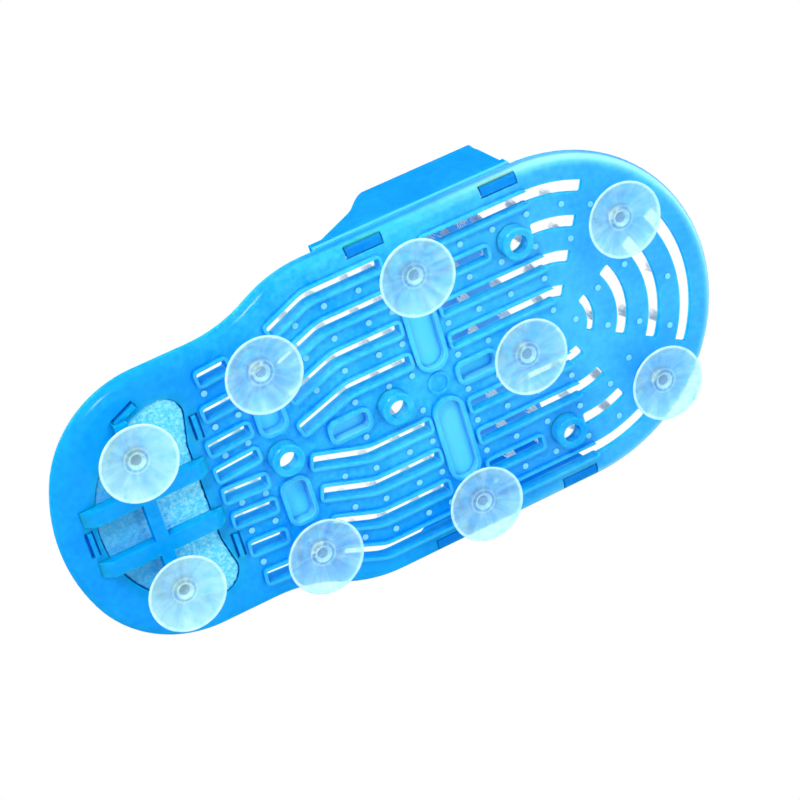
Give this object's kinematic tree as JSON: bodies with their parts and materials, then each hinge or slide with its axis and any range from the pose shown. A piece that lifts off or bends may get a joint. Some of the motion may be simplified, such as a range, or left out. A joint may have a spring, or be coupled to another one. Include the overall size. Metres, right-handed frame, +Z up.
{
  "type": "shower foot scrubber",
  "caption": "Slipper-shaped foot scrubber held to a shower floor by suction cups, with drain slots, bristle tufts, a heel stone and an arched instep strap.",
  "frame": {"origin": "on the floor plane at the cups' rims, at the middle of the length and width", "axes": "+X from heel to toe along the sole, +Z up from the floor to the strap's crown"},
  "size_m": [0.2728, 0.1348, 0.0948],
  "materials": {
    "blue_plastic": "glossy translucent",
    "clear_vinyl": "frosted clear",
    "pumice": "rough, porous",
    "bristle_nylon": "satin"
  },
  "bodies": {
    "root": {"sole_base": "blue_plastic", "cup_bosses": "blue_plastic", "heel_bridge": "blue_plastic", "instep_strap": "blue_plastic", "stone_frame": "blue_plastic", "pumice_stone": "pumice", "suction_cup_heel_left": "clear_vinyl", "suction_cup_heel_right": "clear_vinyl", "suction_cup_arch_left": "clear_vinyl", "suction_cup_arch_right": "clear_vinyl", "suction_cup_middle_left": "clear_vinyl", "suction_cup_middle_right": "clear_vinyl", "suction_cup_centre": "clear_vinyl", "suction_cup_toe_left": "clear_vinyl", "suction_cup_toe_right": "clear_vinyl", "bristles_strap": "bristle_nylon", "bristles_rear_left": "bristle_nylon", "bristles_rear_right": "bristle_nylon", "bristles_front_left": "bristle_nylon", "bristles_front_right": "bristle_nylon", "bristles_toe_left": "bristle_nylon", "bristles_toe_right": "bristle_nylon", "bristles_heel_left": "bristle_nylon", "bristles_heel_right": "bristle_nylon", "bristles_toe_axis": "bristle_nylon"}
  },
  "joints": []
}
